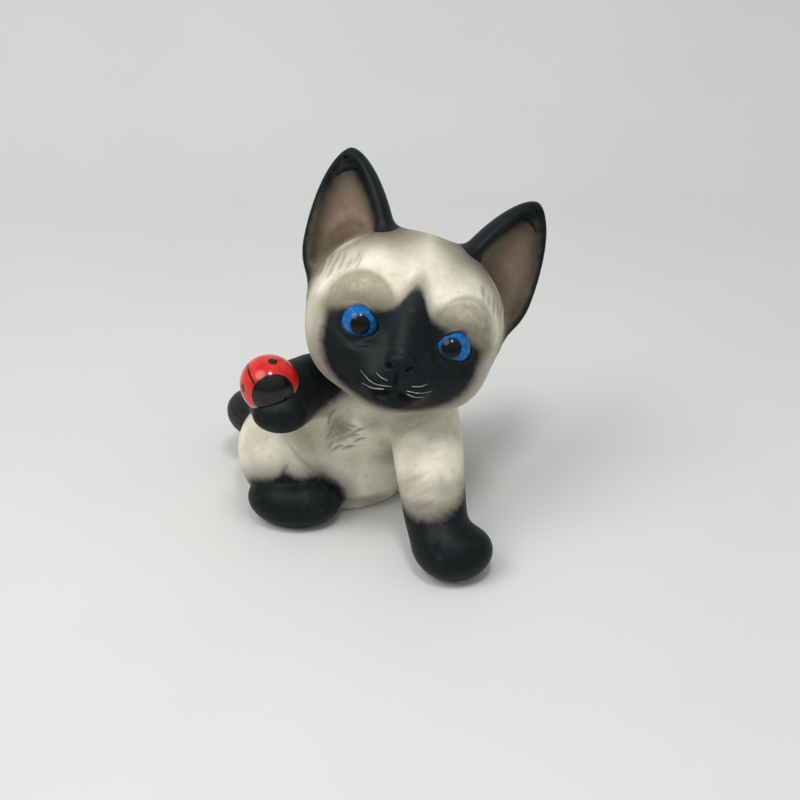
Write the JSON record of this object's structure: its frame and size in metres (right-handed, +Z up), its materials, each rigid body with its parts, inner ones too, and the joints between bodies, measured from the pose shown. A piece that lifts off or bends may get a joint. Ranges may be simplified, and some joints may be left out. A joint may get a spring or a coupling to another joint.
{
  "type": "cat figurine",
  "caption": "Seated ceramic Siamese kitten figurine, head tilted, one foreleg planted and one raised with a glossy ladybug on the paw.",
  "frame": {"origin": "on the table, under the middle of the figure's box", "axes": "+Z up, -Y the display front that the face looks out of, +X the kitten's left"},
  "size_m": [0.0824, 0.0768, 0.0897],
  "materials": {
    "bisque_cream": "matte bisque, airbrushed",
    "bisque_points": "matte bisque, airbrushed dark",
    "eye_glaze": "gloss glaze, painted iris and pupil",
    "ladybug_glaze": "gloss glaze, painted red with black"
  },
  "bodies": {
    "root": {"torso": "bisque_cream", "head": "bisque_cream", "right_haunch": "bisque_cream", "left_haunch": "bisque_cream", "planted_foreleg": "bisque_cream", "raised_foreleg": "bisque_points", "right_ear": "bisque_points", "left_ear": "bisque_points", "right_hind_paw": "bisque_points", "left_hind_paw": "bisque_points", "tail": "bisque_points", "right_eye": "eye_glaze", "left_eye": "eye_glaze", "ladybug": "ladybug_glaze"}
  },
  "joints": []
}
